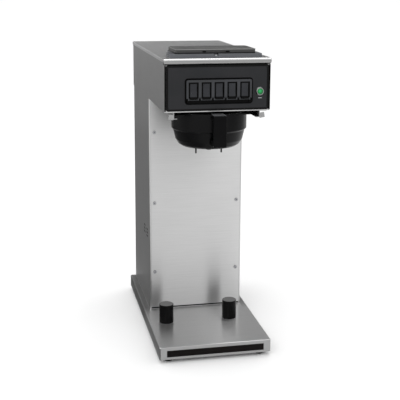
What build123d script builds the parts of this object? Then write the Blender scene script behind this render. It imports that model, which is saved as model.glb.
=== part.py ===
from build123d import *
import os
from math import cos, pi, radians, sin

# Airpot coffee brewer: a narrow steel tower whose brewing head overhangs an open bay.
# X runs to the right, Y from the front to the back and Z up, in millimetres.
# The origin lies on the resting plane, under the middle of the whole brewer.

# Sheet metal and clearances
sheet = 1.2  # thickness of the folded steel sheet
running_gap = 0.3  # between pieces that move past each other
set_gap = 0.2  # around a piece that sits in a cut-out
hole_gap = 0.1  # around a screw or a tube in its hole
shaft_gap = 0.05  # radial play of a turning pin
press_gap = 0.02  # radial play of a pin pressed into its knuckle
over = 1.0  # how far a cutting tool runs past a face, or a joined solid into its neighbour

# Base pan and what stands on it
base_width = 229.0
base_depth = 448.0
base_height = 26.0
base_corner = 3.0
base_edge = 2.4
base_lip = 32.0
insert_width = 199.0
insert_height = 14.0
insert_rise = 4.8
insert_rim = 2.0
insert_recess = 0.6
insert_thickness = 2.6
insert_ridge = 0.3
insert_ridge_width = 1.0
foot_height = 8.0
foot_radius = 9.5
foot_taper = 1.0
foot_edge = 1.0
foot_inset = 20.5
foot_setback = 18.0
foot_recess_radius = 5.0
foot_recess_depth = 4.0
foot_screw_end = 2.0
post_radius = 15.0
post_height = 40.0
post_edge = 1.0
post_left_inset = 36.5
post_right_inset = 55.5
post_setback = 135.0
post_bolt_radius = 2.5
post_bolt_depth = 16.0
post_bolt_head = 3.0

# Trunk
trunk_width = 204.0
trunk_depth = 234.0
trunk_setback = 211.0
trunk_corner = 2.4
trunk_lip = 15.0
bay_height = 470.0
window_border = 18.0
trunk_panel_width = 196.0
trunk_panel_gap = 2.0
trunk_panel_corner = 1.5
trunk_screw_inset = 7.5
trunk_screw_first = 86.0
trunk_screw_pitch = 155.0
trunk_screw_setback = 58.5

# Brewing head
head_width = 206.0
head_height = 101.5
head_setback = 4.0
head_back_overlap = 1.0
head_corner = 2.4
cover_skirt = 7.0
cover_edge = 2.2
cover_screw_x = 72.0
bullnose_radius = 6.0
bullnose_overhang = 1.0
bullnose_end = 1.0
bullnose_joint = 4.0
bullnose_strip_inset = 3.0
control_panel_thickness = 2.0
control_panel_side = 3.2
control_panel_foot = 2.0
control_panel_corner = 4.0
control_panel_edge = 0.5
groove_inset = 3.2
groove_width = 1.0
groove_depth = 0.4

# Switch group and ready light
bezel_width = 127.0
bezel_height = 44.6
bezel_corner = 3.5
bezel_edge = 1.2
bezel_thickness = 4.0
bezel_x = 2.0
bezel_rise = 39.3
bezel_ledge = 2.0
bezel_scoop = 8.0
rocker_count = 5
rocker_pitch = 24.9
rocker_width = 13.0
rocker_height = 28.6
rocker_dish = 2.0
rocker_wing = 2.9
rocker_proud = 1.6
rocker_edge = 0.4
rocker_shoulder = 1.0
rocker_flare = 2.0
rocker_tilt = 5.0
rocker_pin_radius = 1.2
rocker_root = 9.0
well_width = 16.6
well_height = 31.0
pivot_depth = 4.0
switch_depth = 28.0
switch_wall = 1.1
blade_width = 6.3
blade_thickness = 0.8
blade_length = 8.0
blade_pitch = 9.1
light_x = 82.5
light_rise = 37.2
light_ring_radius = 8.5
light_ring_height = 2.4
light_ring_slope = 1.6
light_ring_edge = 0.6
light_lens_radius = 5.75
light_barrel_radius = 7.0
light_barrel_length = 18.0
light_nut_margin = 3.0
light_nut_height = 3.0
light_dome = 2.4

# Brew funnel and its rails
funnel_radius = 75.0
funnel_wall = 2.5
funnel_setback = 82.0
wing_half = 82.5
wing_length = 96.0
wing_thickness = 2.6
wing_corner = 10.0
rim_height = 3.0
band_height = 37.0
step_width = 3.4
bowl_mid_radius = 67.0
bowl_mid_drop = 21.0
bowl_depth = 71.0
bowl_edge = 12.0
nozzle_radius = 7.0
nozzle_bore = 3.0
nozzle_length = 11.0
nozzle_edge = 2.0
leg_radius = 1.6
leg_length = 18.0
leg_offset = 26.0
rib_count = 12
rib_height = 2.0
rib_width = 2.0
rib_start = 2.0
handle_reach = 22.0
handle_width = 25.4
handle_height = 62.0
handle_thickness = 8.0
handle_arm = 11.0
handle_rise = 2.0
handle_corner = 3.5
handle_edge = 1.5
handle_seat_depth = 0.8
handle_screw_drop = 1.0
rail_side_gap = 0.8
rail_thickness = 1.5
rail_height = 14.0
rail_lip = 6.0
rail_flange = 13.0
rail_setback = 5.0
rail_screw_inset = 24.6
rail_stop_rise = 1.0
rail_tab_drop = 4.0
rail_tab_lean = 10.0
rail_tab_width = 8.5
rail_tab_height = 10.0

# Water path in the head
spray_radius = 22.0
spray_thickness = 6.0
spray_edge = 3.0
spray_wall = 1.5
spray_rim = 4.0
spray_ring_pitch = 7.0
spray_hole_radius = 1.1
spray_boss_radius = 8.0
spray_boss_height = 9.0
spray_nut_margin = 4.0
spray_nut_height = 5.0
spray_tube_radius = 5.0
spray_tube_wall = 1.0
spray_tube_rise = 26.0
spray_tube_bend = 15.0
spray_tube_dip = 10.0
perforation_rings = 3

# Fill well, its surround and the lid
well_half = 66.0
well_length = 68.0
well_setback = 30.0
basin_wall = 2.0
basin_depth = 37.0
basin_rim = 3.0
basin_corner = 8.0
basin_spout_x = -35.0
basin_spout_radius = 9.0
basin_spout_wall = 1.6
basin_spout_length = 14.0
screen_thickness = 1.0
screen_radius = 13.0
screen_setback = 2.8
screen_hole_radius = 0.9
screen_ring_pitch = 4.0
surround_height = 7.0
surround_half = 78.0
surround_front = 12.0
surround_back = 17.0
surround_corner = 3.0
surround_edge = 0.8
notch_half = 4.0
ear_width = 12.0
ear_length = 43.0
lid_height = 8.2
lid_wall = 2.2
lid_half = 78.0
lid_front = 8.0
lid_back = 6.0
lid_corner = 4.0
lid_edge = 1.6
grip_width = 50.0
grip_height = 2.4
grip_depth = 3.0
grip_drop = 1.6
hinge_pin_radius = 1.5
hinge_barrel_radius = 3.4
hinge_barrel_length = 10.0
hinge_knuckle_length = 6.5
hinge_x = 55.0
hinge_clear = 0.5

# Tank and controls inside the trunk
shelf_rise = 96.0
shelf_flange = 20.0
tank_radius = 82.0
tank_height = 318.0
tank_wall = 1.0
tank_corner = 6.0
tank_flange = 9.0
tank_flange_thickness = 1.5
tank_setback = 117.0
gasket_thickness = 2.0
tank_lid_thickness = 2.0
tank_bolt_count = 6
tank_bolt_radius = 2.0
tank_bolt_end = 8.0
tank_bolt_head = 2.5
tank_nut_height = 3.0
fill_hose_wall = 2.0
fill_hose_bend = 22.4
fill_hose_fall = 4.0
fill_hose_drop = 26.0
inlet_y_offset = -42.0
inlet_height = 16.0
dip_tube_length = 260.0
outlet_y_offset = -66.0
element_radius = 4.0
element_half = 30.0
element_y_offset = 18.0
element_length = 250.0
element_stub = 14.0
element_nut_height = 5.0
bulb_radius = 3.0
bulb_length = 90.0
bulb_stub = 6.0
bulb_x = -52.0
bulb_y_offset = -22.0
capillary_radius = 1.0
capillary_bend = 8.0
capillary_rise = 20.0
capillary_x = -94.0
thermostat_size = 38.0
thermostat_height = 44.0
thermostat_margin = 2.0
thermostat_corner = 2.0
stem_radius = 3.0
stem_length = 9.0
limit_radius = 12.5
limit_height = 12.0
limit_flange_height = 7.2
limit_cap_radius = 8.75
limit_blade_x = 6.25
limit_x = 48.0
limit_y_offset = -30.0
terminal_length = 52.0
terminal_width = 24.0
terminal_height = 20.0
terminal_ways = 3
terminal_gap = 10.0
terminal_well_depth = 5.0
terminal_well_radius = 5.2
terminal_bore_radius = 3.5
terminal_bore_rise = 7.0
gland_x = 50.0
gland_rise = 40.0
gland_radius = 11.0
gland_reach = 2.8
gland_bore = 5.0
gland_flange = 3.0
gland_neck_length = 6.0
gland_slope = 1.5
gland_nut_margin = 2.0
gland_nut_height = 4.0

# Screws
screw_radius = 2.0
screw_head_radius = 3.6
screw_head_height = 2.0
screw_length = 8.0
drive_radius = 1.1
drive_depth = 1.0

# Places worked out from the sizes above
base_front = handle_reach - (base_depth + handle_reach) / 2
base_back = base_front + base_depth
base_half = base_width / 2
base_top = foot_height + base_height
foot_x = base_half - foot_inset
foot_front_y = base_front + foot_setback
foot_back_y = base_back - foot_setback
post_left_x = -base_half + post_left_inset
post_right_x = base_half - post_right_inset
post_y = base_front + post_setback
trunk_half = trunk_width / 2
trunk_front = base_front + trunk_setback
trunk_back = trunk_front + trunk_depth
head_bottom = base_top + bay_height
head_half = head_width / 2
head_front = base_front + head_setback
head_back = trunk_back + head_back_overlap
cover_top = head_bottom + head_height
cover_under = cover_top - sheet
cover_half = head_half + sheet + hole_gap
cover_back = head_back + sheet + hole_gap
panel_face = head_front - control_panel_thickness
bullnose_front = panel_face - bullnose_overhang
bullnose_bottom = cover_top - 2 * bullnose_radius
panel_top = bullnose_bottom - running_gap
panel_bottom = head_bottom + control_panel_foot
panel_half = head_half - control_panel_side
floor_under = head_bottom + sheet
floor_top = floor_under + sheet
bezel_z = head_bottom + bezel_rise
bezel_face = panel_face - bezel_thickness
pivot_y = panel_face + pivot_depth
rocker_xs = [bezel_x + (i - (rocker_count - 1) / 2) * rocker_pitch for i in range(rocker_count)]
switch_half = well_width / 2 - running_gap
switch_half_height = well_height / 2 - running_gap
light_z = head_bottom + light_rise
web_inner = wing_half + rail_side_gap
web_outer = web_inner + rail_thickness
rail_bottom = head_bottom - rail_height
rail_front = head_front + rail_setback
rail_screw_x = web_outer + rail_flange / 2
wing_bottom = rail_bottom + rail_thickness + running_gap
wing_top = wing_bottom + wing_thickness
rim_top = wing_top + rim_height
funnel_y = base_front + funnel_setback
rail_back = funnel_y + wing_length / 2 + running_gap + rail_thickness
step_z = rim_top - band_height
bowl_bottom = rim_top - bowl_depth
handle_front = base_front - handle_reach
handle_top = rim_top + handle_rise
handle_bottom = handle_top - handle_height
well_front = base_front + well_setback
well_back = well_front + well_length
basin_bottom = cover_top - basin_depth
basin_spout_y = well_back - basin_spout_radius - basin_wall
surround_top = cover_top + surround_height
surround_front_y = well_front - surround_front
surround_back_y = well_back + surround_back
lid_bottom = surround_top + running_gap
lid_top = lid_bottom + lid_height
lid_front_y = well_front - lid_front
lid_back_y = well_back + lid_back
hinge_y = lid_back_y + hinge_clear + hinge_barrel_radius
hinge_z = surround_top + running_gap + hinge_barrel_radius
shelf_z = base_top + shelf_rise
tank_y = trunk_front + tank_setback
tank_bottom = shelf_z + sheet
tank_top = tank_bottom + tank_height
tank_lid_under = tank_top + gasket_thickness
tank_lid_top = tank_lid_under + tank_lid_thickness
tank_bolt_circle = tank_radius + tank_flange / 2
inlet_y = tank_y + inlet_y_offset
outlet_y = tank_y + outlet_y_offset
element_y = tank_y + element_y_offset
bulb_y = tank_y + bulb_y_offset
gland_z = base_top + gland_rise
gland_neck = gland_radius - gland_flange


def block(x0, x1, y0, y1, z0, z1):
    """A box from its lowest corner to its highest corner."""
    return Pos((x0 + x1) / 2, (y0 + y1) / 2, (z0 + z1) / 2) * Box(x1 - x0, y1 - y0, z1 - z0)


def post(radius, z0, z1, x=0.0, y=0.0):
    """An upright round bar between two heights."""
    return Pos(x, y, (z0 + z1) / 2) * Cylinder(radius, z1 - z0)


def rod_y(radius, y0, y1, x, z):
    """A round bar that lies along Y."""
    return Pos(x, (y0 + y1) / 2, z) * Rot(90, 0, 0) * Cylinder(radius, y1 - y0)


def rod_x(radius, x0, x1, y, z):
    """A round bar that lies along X."""
    return Pos((x0 + x1) / 2, y, z) * Rot(0, 90, 0) * Cylinder(radius, x1 - x0)


def rounded_block(x0, x1, y0, y1, z0, z1, radius):
    """A box with its upright edges rounded."""
    solid = block(x0, x1, y0, y1, z0, z1)
    return fillet(solid.edges().filter_by(Axis.Z), radius)


def folded_box(x0, x1, y0, y1, z0, z1, corner, edge):
    """A box with rounded upright edges and a rounded rim round its top face."""
    solid = rounded_block(x0, x1, y0, y1, z0, z1, corner)
    return fillet(solid.faces().sort_by(Axis.Z)[-1].edges(), edge)


def turned(points):
    """A solid turned about Z from an outline of (radius, height) points."""
    outline = make_face(Plane.XZ * Polyline(*points, close=True))
    return revolve(outline, Axis.Z)


def screw(length, axis="z"):
    """A pan head screw: the head's seat at the origin, the shank along the given axis."""
    head = Pos(0, 0, -screw_head_height / 2) * Cylinder(screw_head_radius, screw_head_height)
    head = fillet(head.faces().sort_by(Axis.Z)[0].edges(), screw_head_height / 3)
    shank = Pos(0, 0, length / 2) * Cylinder(screw_radius, length)
    recess = Pos(0, 0, -screw_head_height) * Cylinder(drive_radius, 2 * drive_depth)
    solid = head + shank - recess
    if axis == "y":
        return Rot(-90, 0, 0) * solid
    return solid


def tube(path, radius, wall):
    """A tube with a bore, swept along a path that starts at its first point."""
    start = Plane(origin=path @ 0, z_dir=path % 0)
    ring = start * (Circle(radius) - Circle(radius - wall))
    return sweep(ring, path=path)


def wire_rod(path, radius):
    """A solid round wire swept along a path."""
    start = Plane(origin=path @ 0, z_dir=path % 0)
    return sweep(start * Circle(radius), path=path)


def hex_nut(bore, margin, height):
    """A six-sided nut that stands on the origin, with its corners a margin outside its bore."""
    return extrude(RegularPolygon(bore + margin, 6), height) - post(
        bore + hole_gap / 2, -over, height + over,
    )


def hole_places(pitch):
    """A centre and rings of six, twelve and so on around it."""
    places = [(0, 0)]
    for ring in range(1, perforation_rings):
        for i in range(6 * ring):
            angle = 2 * pi * i / (6 * ring)
            places.append((ring * pitch * cos(angle), ring * pitch * sin(angle)))
    return places


def base_screw_places():
    """Where the trunk's bottom lip is screwed to the base pan."""
    x = trunk_half - sheet - trunk_lip / 2
    ys = (trunk_front + trunk_screw_setback, trunk_back - trunk_screw_setback)
    return [(sx * x, y) for sx in (-1, 1) for y in ys]


def foot_places():
    """Centres of the four feet."""
    return [(sx * foot_x, y) for sx in (-1, 1) for y in (foot_front_y, foot_back_y)]


def post_places():
    """Centres of the two airpot posts."""
    return [(post_left_x, post_y), (post_right_x, post_y)]


def base_pan():
    """The folded pan that the brewer stands on, open below, with lips that carry the bottom plate."""
    inner_x = base_half - sheet
    lip_x = inner_x - base_lip
    pan = folded_box(
        -base_half, base_half, base_front, base_back, foot_height, base_top, base_corner, base_edge,
    )
    lip_z = foot_height + sheet + hole_gap
    pan -= folded_box(
        -inner_x, inner_x, base_front + sheet, base_back - sheet,
        lip_z + sheet, base_top - sheet, base_corner - sheet, base_edge - sheet,
    )
    pan -= rounded_block(
        -inner_x, inner_x, base_front + sheet, base_back - sheet,
        foot_height - over, lip_z, base_corner - sheet,
    )
    pan -= block(
        -lip_x, lip_x, base_front + sheet + base_lip, base_back - sheet - base_lip,
        foot_height, base_top - sheet,
    )
    slot_z = foot_height + insert_rise
    half = insert_width / 2
    pan -= block(-half, half, base_front - over, base_front + 2 * sheet, slot_z, slot_z + insert_height)
    for x, y in foot_places():
        pan -= post(screw_radius + hole_gap, foot_height, lip_z + 2 * sheet, x, y)
    for x, y in base_screw_places():
        pan -= post(screw_radius + hole_gap, base_top - 2 * sheet, base_top + over, x, y)
    for x, y in post_places():
        pan -= post(post_bolt_radius + hole_gap, base_top - 2 * sheet, base_top + over, x, y)
    return pan


def base_bottom_plate():
    """The flat plate that closes the pan from below."""
    x = base_half - sheet - set_gap
    plate = rounded_block(
        -x, x, base_front + sheet + set_gap, base_back - sheet - set_gap,
        foot_height, foot_height + sheet, base_corner,
    )
    for px, py in foot_places():
        plate -= post(screw_radius + hole_gap, foot_height - over, foot_height + 2 * sheet, px, py)
    return plate


def base_front_insert():
    """The black strip set in the front of the base, with a rim behind the sheet."""
    half = insert_width / 2 - set_gap
    z0 = foot_height + insert_rise + set_gap
    z1 = foot_height + insert_rise + insert_height - set_gap
    face = base_front + insert_recess
    back = base_front + sheet
    strip = block(-half, half, face, back + insert_thickness, z0, z1)
    rim = block(
        -half - insert_rim, half + insert_rim, back, back + insert_thickness,
        z0 - insert_rim, z1 + insert_rim,
    )
    ridge_z = (z0 + z1) / 2
    ridge = block(
        -half + insert_rim, half - insert_rim, face - insert_ridge, face,
        ridge_z - insert_ridge_width / 2, ridge_z + insert_ridge_width / 2,
    )
    return strip + rim + ridge


def rubber_feet():
    """Four rubber feet, each with a recess for its screw."""
    foot = turned([
        (screw_radius + hole_gap, foot_height),
        (foot_radius, foot_height),
        (foot_radius - foot_taper, foot_edge),
        (foot_radius - foot_taper - foot_edge, 0),
        (foot_recess_radius, 0),
        (foot_recess_radius, foot_recess_depth),
        (screw_radius + hole_gap, foot_recess_depth),
    ])
    return [Pos(x, y, 0) * foot for x, y in foot_places()]


def foot_screws():
    """The screws that hold the feet and the bottom plate."""
    length = foot_height - foot_recess_depth + 4 * sheet + foot_screw_end
    return [Pos(x, y, foot_recess_depth) * screw(length) for x, y in foot_places()]


def airpot_post(x):
    """A round post that the airpot is pushed back against."""
    body = post(post_radius, base_top, base_top + post_height, x, post_y)
    body = fillet(body.faces().sort_by(Axis.Z)[-1].edges(), post_edge)
    return body - post(post_bolt_radius, base_top - over, base_top + post_bolt_depth, x, post_y)


def post_bolts():
    """The bolts that hold the posts from inside the base pan."""
    bolt = post(post_bolt_radius - hole_gap / 2, 0, post_bolt_depth)
    head = extrude(RegularPolygon(2 * post_bolt_radius, 6), -post_bolt_head)
    return [Pos(x, y, base_top - sheet) * (bolt + head) for x, y in post_places()]


def trunk_shell():
    """The wrapped trunk: both sides, the back, a front window and lips above and below."""
    shell = rounded_block(
        -trunk_half, trunk_half, trunk_front, trunk_back, base_top, head_bottom, trunk_corner,
    )
    inner = trunk_half - sheet
    shell -= rounded_block(
        -inner, inner, trunk_front + sheet, trunk_back - sheet,
        base_top + sheet, head_bottom - sheet, trunk_corner - sheet,
    )
    lip = inner - trunk_lip
    shell -= block(
        -lip, lip, trunk_front + sheet + trunk_lip, trunk_back - sheet - trunk_lip,
        base_top - over, head_bottom + over,
    )
    window = trunk_half - window_border
    shell -= block(
        -window, window, trunk_front - over, trunk_front + 2 * sheet,
        base_top + window_border, head_bottom - window_border,
    )
    for x, z in trunk_screw_places():
        shell -= rod_y(screw_radius + hole_gap, trunk_front - over, trunk_front + 2 * sheet, x, z)
    for x, y in base_screw_places():
        shell -= post(screw_radius + hole_gap, base_top - over, base_top + 2 * sheet, x, y)
        shell -= post(screw_radius + hole_gap, head_bottom - 2 * sheet, head_bottom + over, x, y)
    shell -= rod_y(gland_neck + set_gap, trunk_back - 2 * sheet, trunk_back + over, gland_x, gland_z)
    return shell


def trunk_screw_places():
    """Where the front panel is screwed to the trunk."""
    x = trunk_panel_width / 2 - trunk_screw_inset
    z = base_top + trunk_screw_first
    return [(sx * x, z + i * trunk_screw_pitch) for sx in (-1, 1) for i in range(3)]


def trunk_front_panel():
    """The removable panel on the front of the trunk."""
    half = trunk_panel_width / 2
    panel = block(
        -half, half, trunk_front - sheet, trunk_front,
        base_top + trunk_panel_gap, head_bottom - trunk_panel_gap,
    )
    panel = fillet(panel.edges().filter_by(Axis.Y), trunk_panel_corner)
    for x, z in trunk_screw_places():
        panel -= rod_y(screw_radius + hole_gap, trunk_front - 2 * sheet, trunk_front + over, x, z)
    return panel


def front_panel_screws():
    """The six screws of the front panel."""
    return [Pos(x, trunk_front - sheet, z) * screw(screw_length, "y") for x, z in trunk_screw_places()]


def trunk_base_screws():
    """The screws that hold the trunk on the base pan, from below."""
    return [Pos(x, y, base_top - sheet) * screw(screw_length) for x, y in base_screw_places()]


def head_screws():
    """The screws that hold the head on the trunk, from inside the trunk."""
    return [Pos(x, y, head_bottom - sheet) * screw(screw_length) for x, y in base_screw_places()]


def hood_shell():
    """The wrapped head: sides, back and a front wall behind the control panel, open above."""
    inner = head_half - sheet
    shell = rounded_block(
        -head_half, head_half, head_front, head_back, head_bottom, cover_under, head_corner,
    )
    shell -= rounded_block(
        -inner, inner, head_front + sheet, head_back - sheet,
        floor_under, cover_under + over, head_corner - sheet,
    )
    lip = inner - trunk_lip
    shell -= block(
        -lip, lip, head_front + sheet + trunk_lip, trunk_front - trunk_lip, head_bottom - over, floor_under,
    )
    shell -= block(
        -lip, lip, trunk_front + sheet + trunk_lip, trunk_back - sheet - trunk_lip,
        head_bottom - over, floor_under,
    )
    shell -= block(
        -head_half - over, head_half + over, head_front - over, bullnose_front + 2 * bullnose_radius,
        bullnose_bottom - running_gap, cover_top,
    )
    for x in rocker_xs:
        half = switch_half + set_gap
        tall = switch_half_height + set_gap
        shell -= block(
            x - half, x + half, head_front - over, head_front + 2 * sheet, bezel_z - tall, bezel_z + tall,
        )
    shell -= rod_y(
        light_barrel_radius + hole_gap, head_front - over, head_front + 2 * sheet, light_x, light_z,
    )
    for x, y in base_screw_places():
        shell -= post(screw_radius + hole_gap, head_bottom - over, floor_top, x, y)
    for x, y in rail_screw_places():
        shell -= post(screw_radius + hole_gap, head_bottom - over, floor_top, x, y)
    for x, z in cover_screw_places():
        shell -= rod_y(screw_radius + hole_gap, head_back - 2 * sheet, head_back + over, x, z)
    return shell


def head_floor():
    """The plate inside the head that closes its overhang and carries the sprayhead."""
    x = head_half - sheet - set_gap
    plate = rounded_block(
        -x, x, head_front + sheet + set_gap, trunk_front - sheet, floor_under, floor_top, head_corner,
    )
    plate -= post(spray_boss_radius + hole_gap, floor_under - over, floor_top + over, 0, funnel_y)
    for px, py in rail_screw_places():
        plate -= post(screw_radius + hole_gap, floor_under - over, floor_top + over, px, py)
    return plate


def rail_screw_places():
    """Where the two funnel rails are screwed up to the head."""
    ys = (rail_front + rail_screw_inset, rail_back - rail_screw_inset)
    return [(sx * rail_screw_x, y) for sx in (-1, 1) for y in ys]


def funnel_rail(side):
    """A rail with a flange outward above, a web, and a lip inward that carries the funnel's wing."""
    web = block(web_inner, web_outer, rail_front, rail_back, rail_bottom, head_bottom)
    flange = block(
        web_inner, web_outer + rail_flange, rail_front, rail_back,
        head_bottom - rail_thickness, head_bottom,
    )
    lip = block(
        web_inner - rail_lip, web_outer, rail_front, rail_back, rail_bottom, rail_bottom + rail_thickness,
    )
    stop = block(
        web_inner - rail_lip, web_outer, rail_back - rail_thickness, rail_back,
        rail_bottom, wing_top + rail_stop_rise,
    )
    tab_top = head_bottom - rail_thickness - rail_tab_drop
    tab = block(
        web_inner, web_outer + rail_tab_width, rail_front, rail_front + rail_thickness,
        tab_top - rail_tab_height, tab_top,
    )
    tab = tab.rotate(Axis((web_outer, rail_front, tab_top), (0, 1, 0)), -rail_tab_lean)
    tab &= block(
        web_inner, head_half, rail_front, rail_front + rail_thickness,
        rail_bottom - rail_tab_height, head_bottom,
    )
    rail = web + flange + lip + stop + tab
    for x, y in rail_screw_places():
        if x > 0:
            rail -= post(
                screw_radius + hole_gap, head_bottom - 2 * rail_thickness, head_bottom + over, x, y,
            )
    return rail if side > 0 else mirror(rail, Plane.YZ)


def rail_screws():
    """The screws of both rails."""
    return [Pos(x, y, head_bottom - rail_thickness) * screw(screw_length) for x, y in rail_screw_places()]


def cover_screw_places():
    """Where the top cover is screwed to the back of the head."""
    return [(sx * cover_screw_x, cover_top - cover_skirt / 2 - sheet / 2) for sx in (-1, 1)]


def top_cover():
    """The cover of the head: a rolled bullnose in front, a skirt on three sides and the fill opening."""
    axis_y = bullnose_front + bullnose_radius
    axis_z = cover_top - bullnose_radius
    cover = folded_box(
        -cover_half, cover_half, axis_y - bullnose_joint, cover_back, cover_top - cover_skirt, cover_top,
        head_corner + sheet, cover_edge,
    )
    inner = cover_half - sheet
    cover -= rounded_block(
        -inner, inner, axis_y - bullnose_radius, cover_back - sheet,
        cover_top - cover_skirt - over, cover_under, head_corner,
    )
    cover -= block(
        -cover_half, cover_half, bullnose_front - over, axis_y, bullnose_bottom - over, cover_top + over,
    )
    roll = rod_x(bullnose_radius, -cover_half, cover_half, axis_y, axis_z)
    roll = fillet(roll.edges().filter_by(GeomType.CIRCLE), bullnose_end)
    roll -= rod_x(bullnose_radius - sheet, -inner, inner, axis_y, axis_z)
    roll -= block(
        -cover_half, cover_half, axis_y, axis_y + 2 * bullnose_radius,
        bullnose_bottom - over, cover_top + over,
    )
    cheeks = [
        block(
            x0, x0 + sheet, axis_y - over, axis_y + bullnose_joint,
            cover_top - cover_skirt, cover_top - 2 * sheet,
        )
        for x0 in (-cover_half, inner)
    ]
    strip_half = cover_half - bullnose_strip_inset
    top_strip = block(
        -strip_half, strip_half, axis_y - over / 2, axis_y + bullnose_joint, cover_under, cover_top,
    )
    cover = cover + roll + cheeks[0] + cheeks[1] + top_strip
    opening = well_half + basin_wall + hole_gap
    cover -= rounded_block(
        -opening, opening, well_front - basin_wall - hole_gap, well_back + basin_wall + hole_gap,
        cover_under - over, cover_top + over, basin_corner + basin_wall,
    )
    cover -= post(screw_radius + hole_gap, cover_under - over, cover_top + over, 0, notch_y())
    for x, z in cover_screw_places():
        cover -= rod_y(screw_radius + hole_gap, cover_back - 2 * sheet, cover_back + over, x, z)
    return cover


def top_cover_screws():
    """The two screws at the back of the top cover."""
    turn = Rot(0, 0, 180)
    return [Pos(x, cover_back, z) * turn * screw(screw_length, "y") for x, z in cover_screw_places()]


def control_panel():
    """The black panel on the front of the head, with a groove round its border."""
    plate = block(-panel_half, panel_half, panel_face, head_front, panel_bottom, panel_top)
    plate = fillet(plate.edges().filter_by(Axis.Y), control_panel_corner)
    plate = chamfer(plate.faces().sort_by(Axis.Y)[0].edges(), control_panel_edge)
    x = panel_half - groove_inset
    z0 = panel_bottom + groove_inset
    z1 = panel_top - groove_inset
    depth = panel_face + groove_depth
    outer = fillet(
        block(-x, x, panel_face - over, depth, z0, z1).edges().filter_by(Axis.Y), control_panel_corner,
    )
    x -= groove_width
    z0 += groove_width
    z1 -= groove_width
    inner = block(-x, x, panel_face - 2 * over, depth + over, z0, z1)
    inner = fillet(inner.edges().filter_by(Axis.Y), control_panel_corner - groove_width)
    plate -= outer - inner
    for cx in rocker_xs:
        half = switch_half + set_gap
        tall = switch_half_height + set_gap
        plate -= block(
            cx - half, cx + half, panel_face - over, head_front + over, bezel_z - tall, bezel_z + tall,
        )
    return plate - rod_y(
        light_barrel_radius + hole_gap, panel_face - over, head_front + over, light_x, light_z,
    )


def switch_bezel():
    """The raised frame round the switches, with guards between them that slope down to a ledge."""
    half = bezel_width / 2
    tall = bezel_height / 2
    frame = block(bezel_x - half, bezel_x + half, bezel_face, panel_face, bezel_z - tall, bezel_z + tall)
    frame = fillet(frame.edges().filter_by(Axis.Y), bezel_corner)
    frame = fillet(frame.faces().sort_by(Axis.Y)[0].edges(), bezel_edge)
    for cx in rocker_xs:
        x = well_width / 2
        z = well_height / 2
        frame -= block(cx - x, cx + x, bezel_face - over, panel_face + over, bezel_z - z, bezel_z + z)
    ledge_y = bezel_face + bezel_ledge
    ledge_z = bezel_z - well_height / 2
    rise = bezel_scoop * (bezel_ledge + over) / bezel_ledge
    slope = Polyline(
        (bezel_face - over, ledge_z + rise),
        (ledge_y, ledge_z),
        (ledge_y, bezel_z - tall - over),
        (bezel_face - over, bezel_z - tall - over),
        close=True,
    )
    span = rocker_xs[-1] - rocker_xs[0] + well_width
    cut = extrude(make_face(Plane.YZ * slope), span / 2, both=True)
    return frame - Pos(bezel_x, 0, 0) * cut


def rocker(x):
    """A dished rocker with its own pivot pins, tipped to its off side."""
    top = rocker_height / 2
    front = -(pivot_depth + rocker_wing + rocker_proud)
    back = front + rocker_wing
    dish = ThreePointArc((front, top), (front + rocker_dish, 0), (front, -top))
    outline = dish + Polyline(
        (front, -top), (back, -top), (back + rocker_shoulder, -rocker_root - rocker_flare),
        (0, -rocker_root), (rocker_root / 2, 0), (0, rocker_root),
        (back + rocker_shoulder, rocker_root + rocker_flare), (back, top), (front, top),
    )
    body = extrude(make_face(Plane.YZ * outline), rocker_width / 2, both=True)
    sides = body.faces().sort_by(Axis.X)
    body = fillet(sides[-1].edges() + sides[0].edges(), rocker_edge)
    pin_half = switch_half - set_gap
    pin = rod_x(rocker_pin_radius, -pin_half, pin_half, 0, 0)
    return Pos(x, pivot_y, bezel_z) * Rot(-rocker_tilt, 0, 0) * (body + pin)


def switch_bodies():
    """The switch housings behind the panel, each with bearing holes for its rocker and blades behind."""
    cavity_back = pivot_y + rocker_root
    housings = []
    for x in rocker_xs:
        body = block(
            x - switch_half, x + switch_half, panel_face, panel_face + switch_depth,
            bezel_z - switch_half_height, bezel_z + switch_half_height,
        )
        body -= block(
            x - switch_half + switch_wall, x + switch_half - switch_wall, panel_face - over, cavity_back,
            bezel_z - switch_half_height + switch_wall, bezel_z + switch_half_height - switch_wall,
        )
        body -= rod_x(
            rocker_pin_radius + shaft_gap, x - switch_half - over, x + switch_half + over, pivot_y, bezel_z,
        )
        end = panel_face + switch_depth
        for step in (-1, 0, 1):
            z = bezel_z + step * blade_pitch
            body += block(
                x - blade_width / 2, x + blade_width / 2, end - over, end + blade_length,
                z - blade_thickness / 2, z + blade_thickness / 2,
            )
        housings.append(body)
    return housings


def along_panel(points, x, z):
    """A solid turned about Y, from (radius, distance behind the panel's face) points."""
    solid = turned(points)
    return Pos(x, panel_face, z) * Rot(-90, 0, 0) * solid


def ready_light_ring():
    """The bright ring of the ready light, with its barrel through the panel."""
    bore = light_lens_radius + hole_gap
    return along_panel([
        (bore, -light_ring_height),
        (light_ring_radius - light_ring_slope, -light_ring_height),
        (light_ring_radius, -light_ring_edge),
        (light_ring_radius, 0),
        (light_barrel_radius, 0),
        (light_barrel_radius, light_barrel_length),
        (bore, light_barrel_length),
    ], light_x, light_z)


def ready_light_lens():
    """The green lens, domed in front."""
    front = panel_face - light_ring_height - light_dome
    lens = rod_y(light_lens_radius, front, panel_face + light_barrel_length, light_x, light_z)
    return fillet(lens.faces().sort_by(Axis.Y)[0].edges(), light_dome)


def ready_light_nut():
    """The nut that clamps the ready light behind the front wall."""
    nut = hex_nut(light_barrel_radius, light_nut_margin, light_nut_height)
    return Pos(light_x, head_front + sheet, light_z) * Rot(-90, 0, 0) * nut


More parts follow.
